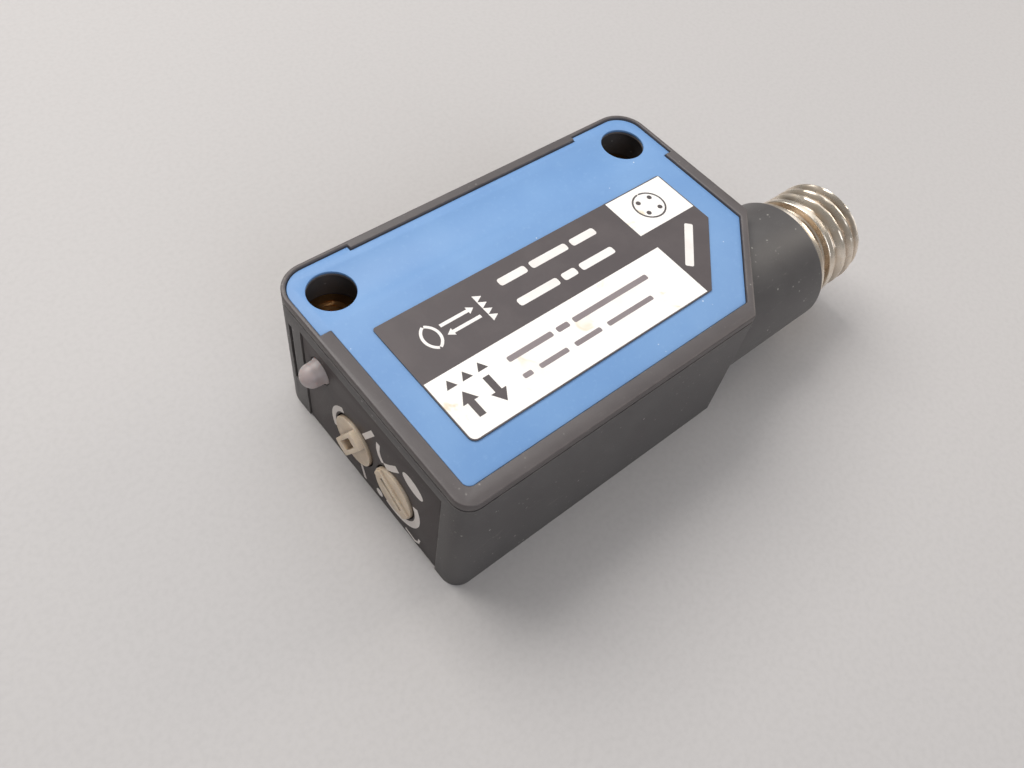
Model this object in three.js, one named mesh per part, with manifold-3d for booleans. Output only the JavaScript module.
// Miniature retro-reflective photoelectric sensor: a flat plastic case 31 x 20 x 11 mm that lies on
// its side, with optics in the long front face, two trimmers and a lamp in one end, and an M8 plug
// at the other. Millimetres. X runs along the case to the plug, Y is the way the light leaves,
// Z is up through the side cover. The origin is midway between the two mounting holes, at z = 0.

import * as THREE from "three";
import { mergeVertices } from "three/addons/utils/BufferGeometryUtils.js";
import Module from "manifold-3d";

// ---- driving dimensions ----
const caseLength = 31;
const caseWidth = 20;
const caseHeight = 11;
const wall = 1.1; // side walls of the case
const floorThickness = 1.0;
const frontCornerRadius = 2.2;
const backCornerRadius = 1.2;
const chamfer = 7; // the corner cut away beside the plug

const holeSpacing = 25.4; // between the mounting holes
const holeFromFront = 2.9;
const holeDiameter = 3.2;
const bushWall = 0.5;
const postWall = 0.6; // the plastic round each bush
const bushFrom = 0.4;
const bushTo = 8.2;

const coverRim = 0.6; // height of the cover above the joint
const coverPlug = 0.7; // depth of the cover inside the case walls
const gasketThickness = 0.2;
const labelRecess = 0.4;
const labelThickness = 0.2;
const stickerThickness = 0.08;
const fit = 0.1; // the usual clearance between two fitted pieces
const film = 0.03; // the gap that stands for a layer of glue or solder

const labelEnd = 1.1; // bare rim left round the label, at the trimmer end
const labelFar = 0.95;
const labelBack = 1.2;
const labelFront = 0.73;
const labelPad = 0.35; // and where it steps out round the mounting holes
const labelPadLength = 5.65;
const labelPadWidth = 5.5;
const labelChamfer = 0.57;
const labelCornerRadius = 0.5; // of its back corner at the trimmer end
const stickerLength = 24.9;
const stickerWidth = 9.9;
const stickerStart = 3.1;
const stickerBack = 3.25;
const stickerChamfer = 4.8;

const panelFromBack = 2.0; // bare case left on each side of the control panel
const panelFromFront = 3.5;
const panelTop = 9.4;
const panelSink = 0.08; // how far its face lies below the end of the case
const panelPlate = 0.62; // thickness of its edge, and of the body behind it
const panelBody = 0.75;
const panelLedge = 0.6;
const slitFromFront = 2.3; // the narrow slot beside the panel
const slitWidth = 0.4;
const slitDepth = 0.7;
const slitBottom = 3.0;
const slitTop = 8.8;

const knobDiameter = 3.75;
const knobProud = 0.1;
const knobStem = 2.2;
const knobGap = 0.65; // between the two knobs
const knobFromFloor = 0.625; // from the floor of the case to the lower knob's rim
const knobStep = 0.4; // how much higher the sensitivity knob sits
const knobFromHole = 6.2; // back from the mounting hole to the sensitivity knob
const knobSlotDepth = 0.6; // below the face of the disc
// The bar across each knob: its angle, how far it stands up, its width, and its driver slot.
const sensitivityBar = { angle: 120, rib: 0.4, barWidth: 1.35, slotLength: 1.9, slotWidth: 0.75 };
const modeBar = { angle: 28, rib: 0.15, barWidth: 1.15, slotLength: 2.4, slotWidth: 0.4 };
const trimmerDepth = 2.0;
const sealSection = 0.55;
const lampFromHole = 2.5; // back from the mounting hole to the lamp
const lampAboveTrimmer = 1.3;
const lampDiameter = 1.9;
const lampProud = 1.3;
const guideWidth = 0.9; // the bar that leads its light round the mounting bush
const guideRun = 1.7; // how far that bar runs before it turns inwards

const windowLength = 19.2;
const windowHeight = 7.8;
const windowThickness = 0.95;
const windowGasket = 0.25;
const windowLedge = 1.2;
const windowMiddle = 5.4; // height of its middle
const frontFrame = 2.1; // thickness of the case behind the window

const plugFromBack = 5.0; // axis of the plug
const plugHeight = 5.5;
const bossDiameter = 9.6;
const bossLength = 3.0; // past the end of the case
const spigotWall = 0.65; // of the metal shell where it sits in the boss
const plugLength = 6.4; // past the boss
const plugThread = 8.0;
const threadPitch = 1.0;
const threadDepth = 0.45;
const flangeDiameter = 9.0;
const flangeWidth = 0.75;
const plugSealSection = 0.42;
const neckDiameter = 6.9;
const neckWidth = 1.3;
const collarWidth = 0.6;
const collarGap = 0.35;
const shellBore = 6.2;
const shellInside = 3.4; // how far the shell reaches back into the boss
const keyWidth = 1.0;
const pinDiameter = 1.0;
const pinCircle = 2.9;
const pinTip = 0.9; // how far the pins stop short of the rim
const carrierFace = 4.6; // how deep the pins' carrier lies in the shell
const leadDiameter = 0.7;

const boardThickness = 0.6;
const boardHeight = 8.0;
const opticsZ = 4.6;
const opticsWidth = 8.4;
const opticsLength = 9.4;
const opticsBore = 5.2;
const lensDiameter = 5.0;
const lensThickness = 1.5;
const lensEdge = 0.5; // the straight part of that
const emitterFromFront = 5.0;
const emitterDiameter = 3.0;

const round = 40; // sides of a turned piece
const fine = 24; // and of a small one
const pinSides = 16;
const domeSteps = 6; // from the rim of a dome to its tip

// ---- sizes and places that follow from them ----
const holeX = [(caseLength - holeSpacing) / 2, (caseLength + holeSpacing) / 2];
const holeY = caseWidth - holeFromFront;
const bushBore = holeDiameter - 2 * fit;
const bushDiameter = bushBore + 2 * bushWall;
const postDiameter = bushDiameter + 2 * postWall;
const bossBore = shellBore + 2 * spigotWall + 2 * fit;
const jointZ = caseHeight - coverRim; // underside of the cover's rim
const wallTop = jointZ - gasketThickness - 2 * film;
const plugUnderside = jointZ - coverPlug;
const recessZ = caseHeight - labelRecess;
const labelTop = recessZ + film + labelThickness;
const bossEnd = caseLength + bossLength;
const tip = bossEnd + plugLength;
const seatY = caseWidth - windowThickness - windowGasket - 3 * film;
const opticsX = caseLength / 2;
const opticsFront = caseWidth - frontFrame - fit;
const opticsBack = opticsFront - opticsLength;
const emitterY = opticsFront - emitterFromFront;
const panelFrom = panelFromBack;
const panelTo = caseWidth - panelFromFront;
const knobPitch = knobDiameter + knobGap;
const trimmerSize = knobPitch - 2 * fit;
const modeHeight = floorThickness + knobFromFloor + knobDiameter / 2;
const sensitivityAt = { y: holeY - knobFromHole, z: modeHeight + knobStep, ...sensitivityBar };
const modeAt = { y: sensitivityAt.y - knobPitch, z: modeHeight, ...modeBar };
const lampAt = { y: holeY - lampFromHole, z: sensitivityAt.z + trimmerSize / 2 + lampAboveTrimmer };
const guideTurn = lampAt.y - guideRun;
const plateBack = panelSink + panelPlate;
const panelBack = plateBack + panelBody;
const trimmerFront = panelBack + panelLedge + 0.9;
const controlBoardX = trimmerFront + trimmerDepth + film;
const lampFace = controlBoardX - film;

const sealSeat = bossBore / 2 - plugSealSection - 2 * film; // bottom of the plug seal's groove

// ---- solids ----
const wasm = await Module();
wasm.setup();

function solid(geometry) {
  const bare = geometry.index ? geometry.clone() : mergeVertices(geometry);
  bare.deleteAttribute("normal");
  bare.deleteAttribute("uv");
  const merged = mergeVertices(bare, 1e-4);
  return new wasm.Manifold(
    new wasm.Mesh({
      numProp: 3,
      vertProperties: new Float32Array(merged.attributes.position.array),
      triVerts: new Uint32Array(merged.index.array),
    }),
  );
}

function geometryOf(body) {
  const mesh = body.getMesh();
  const places = new Float32Array(mesh.numVert * 3);
  for (let i = 0; i < mesh.numVert; i++)
    places.set(mesh.vertProperties.subarray(i * mesh.numProp, i * mesh.numProp + 3), i * 3);
  const geometry = new THREE.BufferGeometry();
  geometry.setAttribute("position", new THREE.BufferAttribute(places, 3));
  geometry.setIndex(new THREE.BufferAttribute(new Uint32Array(mesh.triVerts), 1));
  const flat = geometry.toNonIndexed();
  flat.computeVertexNormals();
  return flat;
}

const join = (first, ...others) => others.reduce((sum, next) => sum.add(next), first);
const cut = (first, ...tools) => tools.reduce((left, tool) => left.subtract(tool), first);

// A box given by its two corners.
function block(x0, x1, y0, y1, z0, z1) {
  const box = new THREE.BoxGeometry(x1 - x0, y1 - y0, z1 - z0);
  return solid(box.translate((x0 + x1) / 2, (y0 + y1) / 2, (z0 + z1) / 2));
}

// A flat shape pulled up from z0 to z1.
function slab(shape, z0, z1) {
  const options = { depth: z1 - z0, bevelEnabled: false, curveSegments: 6 };
  return solid(new THREE.ExtrudeGeometry(shape, options).translate(0, 0, z0));
}

function upright(diameter, x, y, z0, z1, sides = round) {
  const rod = new THREE.CylinderGeometry(diameter / 2, diameter / 2, z1 - z0, sides);
  return solid(rod.rotateX(Math.PI / 2).translate(x, y, (z0 + z1) / 2));
}

// A rod lying along X, and one lying along Y.
function alongX(diameter, y, z, x0, x1, sides = round) {
  const rod = new THREE.CylinderGeometry(diameter / 2, diameter / 2, x1 - x0, sides);
  return solid(rod.rotateZ(-Math.PI / 2).translate((x0 + x1) / 2, y, z));
}

function alongY(diameter, x, z, y0, y1, sides = round) {
  const rod = new THREE.CylinderGeometry(diameter / 2, diameter / 2, y1 - y0, sides);
  return solid(rod.translate(x, (y0 + y1) / 2, z));
}

// A profile of [radius, x] points turned about a line along X.
function turned(profile, y, z, sides = round) {
  const points = profile.map(([radius, x]) => new THREE.Vector2(radius, x));
  const lathe = new THREE.LatheGeometry(points, sides);
  const body = solid(lathe.rotateZ(-Math.PI / 2).translate(0, y, z));
  return body.volume() < 0 ? solid(turnInsideOut(lathe)) : body;
}

function turnInsideOut(geometry) {
  const index = geometry.index.array;
  for (let i = 0; i < index.length; i += 3) [index[i + 1], index[i + 2]] = [index[i + 2], index[i + 1]];
  return geometry;
}

// A ring of round section about a line along X.
function ring(middleDiameter, section, x, y, z, sides = fine) {
  const torus = new THREE.TorusGeometry(middleDiameter / 2, section / 2, 8, sides);
  return solid(torus.rotateY(Math.PI / 2).translate(x, y, z));
}

// The case outline, drawn in by a set distance.
function outline(inset) {
  const slant = inset * Math.SQRT2;
  const corner = Math.max(frontCornerRadius - inset, 0.3);
  const heel = Math.max(backCornerRadius - inset, 0.3);
  const [left, right, back, front] = [inset, caseLength - inset, inset, caseWidth - inset];
  const start = caseLength - chamfer;
  const shape = new THREE.Shape();
  shape.moveTo(left + heel, back);
  shape.lineTo(start - slant + inset, back);
  shape.lineTo(right, chamfer - inset + slant);
  shape.lineTo(right, front - corner);
  shape.absarc(right - corner, front - corner, corner, 0, Math.PI / 2);
  shape.lineTo(left + corner, front);
  shape.absarc(left + corner, front - corner, corner, Math.PI / 2, Math.PI);
  shape.lineTo(left, back + heel);
  shape.absarc(left + heel, back + heel, heel, Math.PI, 1.5 * Math.PI);
  return shape;
}

// The label plate, grown by a clearance to make its recess.
function labelSolid(grow, z0, z1) {
  const [left, right] = [labelEnd - grow, caseLength - labelFar + grow];
  const [back, front] = [labelBack - grow, caseWidth - labelFront + grow];
  const slant = caseLength - chamfer - (labelChamfer - grow) * Math.SQRT2;
  const middle = new THREE.Shape();
  middle.moveTo(left + labelCornerRadius, back);
  middle.lineTo(slant + back, back);
  middle.lineTo(right, right - slant);
  middle.lineTo(right, front);
  middle.lineTo(left, front);
  middle.lineTo(left, back + labelCornerRadius);
  middle.absarc(left + labelCornerRadius, back + labelCornerRadius, labelCornerRadius, Math.PI, 1.5 * Math.PI);
  const whole = slab(outline(labelPad - grow), z0, z1);
  const padBack = caseWidth - labelPadWidth - grow;
  const pads = join(
    block(0, labelPadLength + grow, padBack, caseWidth, z0, z1),
    block(caseLength - labelPadLength - grow, caseLength, padBack, caseWidth, z0, z1),
  );
  return join(slab(middle, z0, z1).intersect(whole), pads.intersect(whole));
}

function mountingHoles(z0, z1, diameter = holeDiameter) {
  return join(...holeX.map((x) => upright(diameter, x, holeY, z0, z1)));
}

// ---- case and covers ----
function makeHousing() {
  const boss = alongX(bossDiameter, plugFromBack, plugHeight, caseLength - chamfer, bossEnd);
  const shell = join(
    slab(outline(0), 0, wallTop),
    cut(boss, slab(outline(-fit / 2), wallTop, caseHeight)),
  );
  const posts = join(...holeX.map((x) => upright(postDiameter, x, holeY, 0, caseHeight)));
  const room = cut(slab(outline(wall), floorThickness, caseHeight), posts);
  const frame = block(
    opticsX - windowLength / 2 - 1, opticsX + windowLength / 2 + 1,
    caseWidth - frontFrame, caseWidth - wall / 2, floorThickness / 2, plugUnderside - fit,
  );
  const panelFrame = block(
    wall / 2, panelBack + panelLedge, wall / 2, panelTo + wall, floorThickness / 2, plugUnderside - fit,
  );
  const guide = guideWidth / 2 + 1.5 * fit;
  const guidePocket = block(
    plateBack - film, plateBack + guideWidth, guideTurn, lampAt.y + 0.6, lampAt.z - guide, lampAt.z + guide,
  );
  const filled = join(cut(shell, room), frame, panelFrame);
  const panelSeat = block(-1, plateBack + film, panelFrom, panelTo, -1, panelTop);
  const openingEnd = holeY - postDiameter / 2 - 0.3;
  const panelOpening = block(
    0, 4, panelFrom + panelLedge, openingEnd, floorThickness, panelTop - panelLedge,
  );
  const halfLength = windowLength / 2;
  const halfHeight = windowHeight / 2;
  const windowSeat = block(
    opticsX - halfLength - fit, opticsX + halfLength + fit, seatY, caseWidth + 1,
    windowMiddle - halfHeight - fit, windowMiddle + halfHeight + fit,
  );
  const windowOpening = block(
    opticsX - halfLength + windowLedge, opticsX + halfLength - windowLedge, seatY - 3, caseWidth,
    windowMiddle - halfHeight + windowLedge, windowMiddle + halfHeight - windowLedge,
  );
  const slitY = caseWidth - slitFromFront;
  const slit = block(-1, slitDepth, slitY - slitWidth / 2, slitY + slitWidth / 2, slitBottom, slitTop);
  const bore = alongX(bossBore, plugFromBack, plugHeight, caseLength - chamfer - 2, bossEnd + 1);
  const boreInCase = bore.intersect(slab(outline(wall), 0, caseHeight));
  const boreInBoss = bore.intersect(block(caseLength - chamfer, bossEnd + 1, 0, caseWidth, 0, caseHeight));
  return cut(
    filled, panelSeat, panelOpening, guidePocket, windowSeat, windowOpening, slit, boreInCase, boreInBoss,
    mountingHoles(-1, caseHeight),
    mountingHoles(bushFrom, bushTo, bushDiameter + 2 * film),
    mountingHoles(bushTo - film, caseHeight, bushDiameter + 2 * film),
  );
}

function makeCover() {
  const rim = slab(outline(0), jointZ, caseHeight);
  const posts = join(...holeX.map((x) => upright(postDiameter + 2 * fit, x, holeY, 0, jointZ)));
  const plug = cut(slab(outline(wall + fit), plugUnderside, jointZ + film), posts);
  const recess = labelSolid(fit / 2, recessZ, caseHeight + 1);
  const sleeves = join(
    ...holeX.map((x) => upright(bushDiameter - fit, x, holeY, bushTo + fit, jointZ + film)),
  );
  return cut(join(rim, plug, sleeves), recess, mountingHoles(0, caseHeight + 1));
}

function makeCoverGasket() {
  const bottom = wallTop + film;
  const top = jointZ - film;
  const band = cut(slab(outline(0.25), bottom, top), slab(outline(wall - fit), bottom - 1, top + 1));
  return cut(band, ...holeX.map((x) => upright(bushDiameter + fit, x, holeY, bottom - 1, top + 1)));
}

function makeLabel() {
  return cut(labelSolid(0, recessZ + film, labelTop), mountingHoles(0, caseHeight + 1));
}

function makeSticker() {
  const shape = new THREE.Shape();
  const [left, right] = [stickerStart, stickerStart + stickerLength];
  const [back, front] = [stickerBack, stickerBack + stickerWidth];
  shape.moveTo(left, back);
  shape.lineTo(right - stickerChamfer, back);
  shape.lineTo(right, back + stickerChamfer);
  shape.lineTo(right, front);
  shape.lineTo(left, front);
  return slab(shape, labelTop + film, labelTop + film + stickerThickness);
}

function makeBush(x) {
  const body = upright(bushDiameter, x, holeY, bushFrom + film, bushTo);
  return cut(body, upright(bushBore, x, holeY, 0, caseHeight));
}

// ---- front window ----
function makeWindow() {
  return block(
    opticsX - windowLength / 2, opticsX + windowLength / 2,
    caseWidth - windowThickness - film, caseWidth - film,
    windowMiddle - windowHeight / 2, windowMiddle + windowHeight / 2,
  );
}

function makeWindowGasket() {
  const [x, z] = [windowLength / 2 - fit, windowHeight / 2 - fit];
  const [from, to] = [seatY + film, seatY + film + windowGasket];
  const edge = windowLedge - fit;
  const inner = block(
    opticsX - x + edge, opticsX + x - edge, from - 1, to + 1, windowMiddle - z + edge, windowMiddle + z - edge,
  );
  return cut(block(opticsX - x, opticsX + x, from, to, windowMiddle - z, windowMiddle + z), inner);
}

// ---- control end ----
const controls = [sensitivityAt, modeAt];

function makePanel() {
  const plate = block(panelSink, plateBack, panelFrom + fit, panelTo - fit, fit / 2, panelTop - fit);
  const body = block(
    plateBack - film, panelBack, panelFrom + panelLedge + fit, guideTurn - guideWidth / 2 - fit,
    floorThickness + fit, lampAt.z - guideWidth / 2 - fit,
  );
  const collars = controls.map((at) => alongX(knobDiameter + 0.6, at.y, at.z, panelBack - film, trimmerFront - fit));
  const wells = controls.map((at) => alongX(knobDiameter + 2 * fit, at.y, at.z, -1, panelBack - 0.3));
  const bores = controls.map((at) => alongX(knobStem + 2 * sealSection + 0.2, at.y, at.z, 0, 6));
  const lampBore = alongX(lampDiameter + 2 * fit, lampAt.y, lampAt.z, -1, 6, fine);
  const bushRelief = mountingHoles(-1, caseHeight, bushDiameter + 2 * fit);
  return cut(join(plate, body, ...collars), ...wells, ...bores, lampBore, bushRelief);
}

// A trimmer rotor: a disc with a raised bar across it, a driver slot in the bar, and a stem.
function makeKnob(at) {
  const back = panelBack - 0.4;
  const disc = alongX(knobDiameter, at.y, at.z, -knobProud, back);
  const stem = alongX(knobStem, at.y, at.z, back - film, trimmerFront + 0.3, fine);
  const blade = alongX(knobStem * 0.6, at.y, at.z, trimmerFront, trimmerFront + 1.2, fine);
  const reach = knobDiameter / 2 - 0.1;
  const bar = block(-knobProud - at.rib, -knobProud + film, -reach, reach, -at.barWidth / 2, at.barWidth / 2);
  const slot = block(
    -3, -knobProud + knobSlotDepth, -at.slotLength / 2, at.slotLength / 2, -at.slotWidth / 2, at.slotWidth / 2,
  );
  const place = (piece) => piece.rotate([at.angle, 0, 0]).translate([0, at.y, at.z]);
  return cut(join(disc, stem, blade, place(bar)), place(slot));
}

function makeKnobSeal(at) {
  return ring(knobStem + sealSection + 0.12, sealSection, panelBack + 0.45, at.y, at.z);
}

function makeTrimmer(at) {
  const half = trimmerSize / 2;
  const body = block(trimmerFront, trimmerFront + trimmerDepth, at.y - half, at.y + half, at.z - half, at.z + half);
  return cut(body, alongX(knobStem + 0.3, at.y, at.z, trimmerFront - 1, trimmerFront + 1.4, fine));
}

// The lamp's light pipe: a dome and a stub, and a bar that turns past the bush to the lamp's chip.
function makeLamp() {
  const radius = lampDiameter / 2;
  const dome = [];
  for (let i = 0; i <= domeSteps; i++) {
    const turn = (i / domeSteps) * (Math.PI / 2);
    dome.push([radius * Math.sin(turn), radius - lampProud - radius * Math.cos(turn)]);
  }
  const half = guideWidth / 2;
  const stub = turned([...dome, [radius, plateBack], [0, plateBack]], lampAt.y, lampAt.z, fine);
  const [low, high] = [lampAt.z - half, lampAt.z + half];
  const start = plateBack + film;
  const neck = block(plateBack - fit, start + fit, lampAt.y - half, lampAt.y + half, low, high);
  const across = block(start, plateBack + guideWidth - fit, guideTurn, lampAt.y + half, low, high);
  const inwards = block(start, lampFace - 0.7, guideTurn - half, guideTurn + half, low, high);
  return join(stub, neck, across, inwards);
}

function makeLampChip() {
  return block(lampFace - 0.6, lampFace, guideTurn - 0.8, guideTurn + 0.8, lampAt.z - 0.5, lampAt.z + 0.5);
}

// ---- plug ----
function makeShell() {
  const inside = bossEnd - shellInside;
  const threadStart = bossEnd + film + flangeWidth + neckWidth + collarWidth + collarGap;
  const outer = plugThread / 2;
  const root = outer - threadDepth;
  const profile = [[shellBore / 2, inside], [bossBore / 2 - fit, inside], [bossBore / 2 - fit, inside + 1.0],
    [sealSeat, inside + 1.0], [sealSeat, inside + 2.0], [bossBore / 2 - fit, inside + 2.0],
    [bossBore / 2 - fit, bossEnd + film], [flangeDiameter / 2, bossEnd + film],
    [flangeDiameter / 2, bossEnd + film + flangeWidth], [neckDiameter / 2, bossEnd + film + flangeWidth + 0.1]];
  const neckEnd = bossEnd + film + flangeWidth + neckWidth;
  profile.push([neckDiameter / 2, neckEnd - 0.1], [outer + 0.1, neckEnd], [outer + 0.1, neckEnd + collarWidth],
    [root, neckEnd + collarWidth + 0.1], [root, threadStart]);
  const turns = Math.floor((tip - 0.5 - threadStart) / threadPitch);
  for (let i = 0; i < turns; i++) {
    const from = threadStart + i * threadPitch;
    profile.push([outer, from + 0.4 * threadPitch], [outer, from + 0.6 * threadPitch], [root, from + threadPitch]);
  }
  profile.push([outer, tip - 0.5], [outer - 0.4, tip], [shellBore / 2, tip], [shellBore / 2, inside]);
  return turned(profile, plugFromBack, plugHeight);
}

function makePlugSeal() {
  const middle = bossBore - 2 * film - plugSealSection;
  return ring(middle, plugSealSection, bossEnd - shellInside + 1.5, plugFromBack, plugHeight, round);
}

function makeCarrier() {
  const face = tip - carrierFace;
  const back = bossEnd - shellInside - 1.0;
  const body = join(
    alongX(shellBore - 2 * fit, plugFromBack, plugHeight, back, face),
    alongX(bossBore - 2 * fit - 0.2, plugFromBack, plugHeight, back, bossEnd - shellInside - fit),
  );
  const key = block(
    face - 0.5, face + 1.6, plugFromBack - keyWidth / 2, plugFromBack + keyWidth / 2,
    plugHeight + shellBore / 2 - 0.9, plugHeight + shellBore / 2 - 0.25,
  );
  const pinHoles = pinPlaces.map((at) => alongX(pinDiameter + fit, at.y, at.z, back - 1, face + 1, pinSides));
  return cut(join(body, key), ...pinHoles);
}

const pinPlaces = [45, 135, 225, 315].map((angle) => ({
  y: plugFromBack + (pinCircle / 2) * Math.cos((angle * Math.PI) / 180),
  z: plugHeight + (pinCircle / 2) * Math.sin((angle * Math.PI) / 180),
}));

function makePin(at) {
  const [from, to, radius] = [bossEnd - shellInside - 1.8, tip - pinTip, pinDiameter / 2];
  return turned([[0, from], [radius * 0.8, from], [radius, from + 0.2], [radius, to - 0.4],
    [radius * 0.5, to - 0.1], [0, to]], at.y, at.z, pinSides);
}

// Each lead runs from a pin's tail to its own pad on the underside of the main board.
function makeLead(at, i) {
  const tail = bossEnd - shellInside - 1.8 - fit;
  const padX = boardEnd - 0.9;
  const padY = leadPadY + leadOrder[i] * 1.3;
  const route = new THREE.CatmullRomCurve3([
    new THREE.Vector3(tail, at.y, at.z),
    new THREE.Vector3(tail - 0.9, at.y, at.z),
    new THREE.Vector3((tail + padX) / 2 - 0.3, (at.y + padY) / 2, (at.z + boardHeight) / 2 - 0.4),
    new THREE.Vector3(padX, padY, boardHeight - 1.2),
    new THREE.Vector3(padX, padY, boardHeight - 2 * film),
  ]);
  const section = new THREE.Shape().absarc(0, 0, leadDiameter / 2, 0, 2 * Math.PI);
  const tube = new THREE.ExtrudeGeometry(section, { steps: 14, extrudePath: route, curveSegments: 4 });
  return solid(tube);
}

// ---- boards and optics ----
const boardStart = controlBoardX + boardThickness + 0.3;
const boardEnd = caseLength - chamfer - 1.2;
const boardFront = 12.6;
const leadPadY = wall + 1.2;
const leadOrder = [3, 0, 1, 2]; // so that no lead crosses another

function makeMainBoard() {
  return block(boardStart, boardEnd, wall + 0.5, boardFront, boardHeight, boardHeight + boardThickness);
}

function makeControlBoard() {
  const [back, front] = [wall + 0.6, holeY - postDiameter / 2];
  return block(controlBoardX, controlBoardX + boardThickness, back, front, floorThickness + 0.4, boardHeight + 1.2);
}

// A part soldered on the upper or the lower face of the main board.
function chip(x, y, length, width, height) {
  const top = boardHeight + boardThickness + film;
  const [z0, z1] = height > 0 ? [top, top + height] : [boardHeight - film + height, boardHeight - film];
  return block(x - length / 2, x + length / 2, y - width / 2, y + width / 2, z0, z1);
}

function makeOpticsCarrier() {
  const half = opticsWidth / 2;
  const [low, high] = [floorThickness + 0.2, boardHeight - 0.3];
  const body = block(opticsX - half, opticsX + half, opticsBack, opticsFront, low, high);
  const tunnel = alongY(opticsBore, opticsX, opticsZ, opticsBack - 1, opticsFront + 1);
  const side = alongX(emitterDiameter + 2 * fit, emitterY, opticsZ, 0, opticsX);
  const splitterSlot = block(-3.2, 3.2, -0.35, 0.35, opticsZ - 2.6, boardHeight)
    .rotate([0, 0, -45]).translate([opticsX, emitterY, 0]);
  return cut(body, tunnel, side, splitterSlot);
}

function makeSplitter() {
  return block(-3, 3, -0.25, 0.25, opticsZ - 2.3, boardHeight - 0.5)
    .rotate([0, 0, -45]).translate([opticsX, emitterY, 0]);
}

// The lens is flat behind and domed in front.
function makeLens() {
  const radius = lensDiameter / 2;
  const back = opticsFront - lensThickness - 0.3;
  const edge = back + lensEdge;
  const profile = [[0, back], [radius, back], [radius, edge]];
  for (let i = 1; i <= domeSteps; i++) {
    const turn = (i / domeSteps) * (Math.PI / 2);
    const reach = i === domeSteps ? 0 : radius * Math.cos(turn);
    profile.push([reach, edge + (lensThickness - lensEdge) * Math.sin(turn)]);
  }
  const points = profile.map(([reach, y]) => new THREE.Vector2(reach, y));
  return solid(new THREE.LatheGeometry(points, round).translate(opticsX, 0, opticsZ));
}

function makeFilter() {
  const y = opticsBack + 1.0;
  return alongY(lensDiameter, opticsX, opticsZ, y, y + 0.4);
}

function makeEmitter() {
  const tipX = opticsX - 3.1;
  const base = boardStart + 0.9;
  const radius = emitterDiameter / 2;
  const rim = radius + 0.3;
  const profile = [[0, base], [rim, base], [rim, base + 0.4], [radius, base + 0.5], [radius, tipX - radius]];
  for (let i = 1; i <= domeSteps; i++) {
    const turn = (i / domeSteps) * (Math.PI / 2);
    profile.push([i === domeSteps ? 0 : radius * Math.cos(turn), tipX - radius + radius * Math.sin(turn)]);
  }
  return turned(profile, emitterY, opticsZ, fine);
}

function makeReceiver() {
  const y = opticsBack - film;
  const body = block(opticsX - 2, opticsX + 2, y - 1.2, y - 0.1, opticsZ - 2, opticsZ + 2);
  const lens = alongY(2.4, opticsX, opticsZ, y - 0.2, y + 0.4, fine);
  return join(body, lens);
}

// ---- materials ----
function finish(color, roughness, metalness = 0) {
  return new THREE.MeshStandardMaterial({ color, roughness, metalness });
}
const casePlastic = finish(0x4b4646, 0.55);
const blackPlastic = finish(0x26262a, 0.5);
const bluePolyester = finish(0x7ba4d2, 0.4);
const whiteSticker = finish(0xf2efe8, 0.45);
const blackRubber = finish(0x1b1b1c, 0.85);
const beigePlastic = finish(0xd9d0bd, 0.5);
const frostedClear = finish(0xc2b9b6, 0.35);
const redWindow = finish(0x3a1018, 0.08);
const clearPlastic = finish(0xe6eaec, 0.05);
const nickel = finish(0xcfc8bb, 0.22, 1);
const brass = finish(0xb08a52, 0.35, 1);
const gold = finish(0xd9b25c, 0.25, 1);
const greenBoard = finish(0x1f5a3a, 0.5);
const darkEpoxy = finish(0x1c1c1e, 0.45);
const redEpoxy = finish(0xa3202a, 0.15);
const tantalum = finish(0xc9a23a, 0.5);
const brownLead = finish(0x5a3a26, 0.4);

// ---- assembly ----
const group = new THREE.Group();
group.position.set(-caseLength / 2, -holeY, 0);

function add(name, body, material) {
  const mesh = new THREE.Mesh(geometryOf(body), material);
  mesh.name = name;
  group.add(mesh);
}

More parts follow.
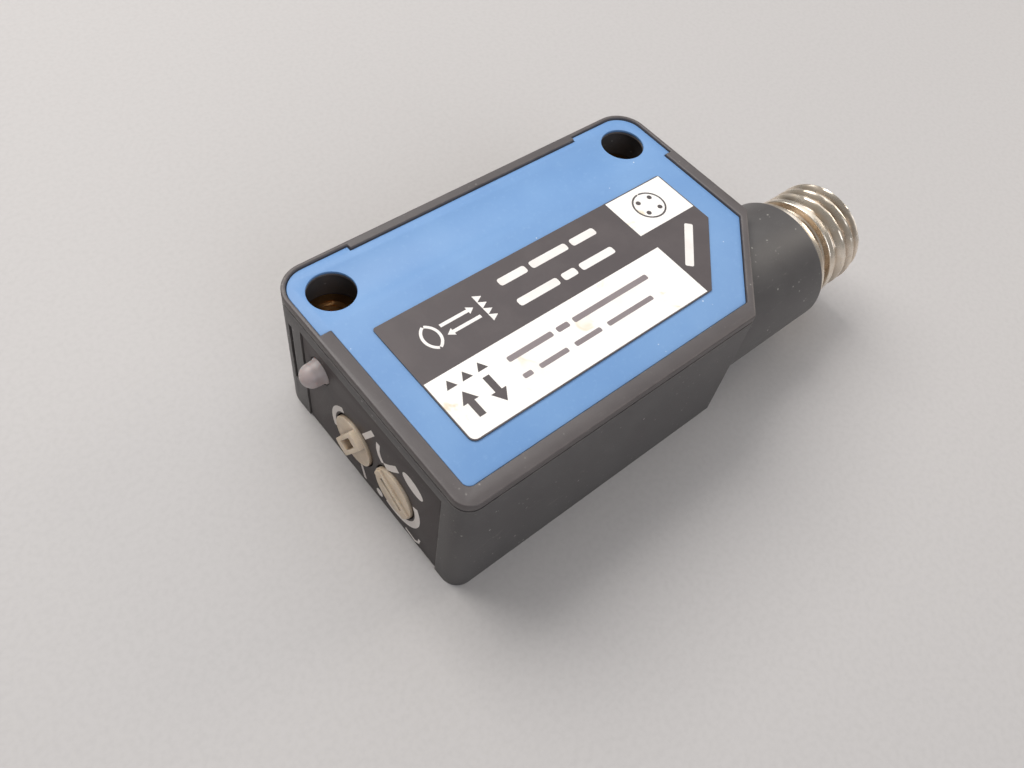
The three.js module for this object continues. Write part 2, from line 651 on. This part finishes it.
add("housing", makeHousing(), casePlastic);
add("side_cover", makeCover(), casePlastic);
add("cover_gasket", makeCoverGasket(), blackRubber);
add("label_plate", makeLabel(), bluePolyester);
add("type_sticker", makeSticker(), whiteSticker);
holeX.forEach((x, i) => add("mounting_bush_" + (i + 1), makeBush(x), brass));
add("front_window", makeWindow(), redWindow);
add("window_gasket", makeWindowGasket(), blackRubber);
add("control_panel", makePanel(), blackPlastic);
add("sensitivity_knob", makeKnob(sensitivityAt), beigePlastic);
add("mode_knob", makeKnob(modeAt), beigePlastic);
add("sensitivity_seal", makeKnobSeal(sensitivityAt), blackRubber);
add("mode_seal", makeKnobSeal(modeAt), blackRubber);
add("sensitivity_trimmer", makeTrimmer(sensitivityAt), darkEpoxy);
add("mode_switch", makeTrimmer(modeAt), darkEpoxy);
add("lamp_lens", makeLamp(), frostedClear);
add("lamp_led", makeLampChip(), clearPlastic);
add("connector_shell", makeShell(), nickel);
add("connector_seal", makePlugSeal(), blackRubber);
add("contact_carrier", makeCarrier(), blackPlastic);
pinPlaces.forEach((at, i) => add("contact_pin_" + (i + 1), makePin(at), gold));
const leadColours = [brownLead, beigePlastic, bluePolyester, blackRubber];
pinPlaces.forEach((at, i) => add("lead_wire_" + (i + 1), makeLead(at, i), leadColours[i]));
add("main_board", makeMainBoard(), greenBoard);
add("control_board", makeControlBoard(), greenBoard);
add("controller_chip", chip(14, 6.5, 4, 4, 0.75), darkEpoxy);
add("driver_chip", chip(19.6, 9.2, 3, 2.4, 0.7), darkEpoxy);
add("output_transistor", chip(20.0, 4.6, 1.6, 2.6, 0.7), darkEpoxy);
add("supply_capacitor", chip(11.5, 4.0, 3.2, 1.8, -1.6), tantalum);
add("filter_capacitor", chip(16.5, 4.2, 2.0, 1.4, -1.2), tantalum);
add("optics_carrier", makeOpticsCarrier(), blackPlastic);
add("beam_splitter", makeSplitter(), clearPlastic);
add("objective_lens", makeLens(), clearPlastic);
add("polarising_filter", makeFilter(), darkEpoxy);
add("emitter_led", makeEmitter(), redEpoxy);
add("receiver_photodiode", makeReceiver(), darkEpoxy);

export default group;
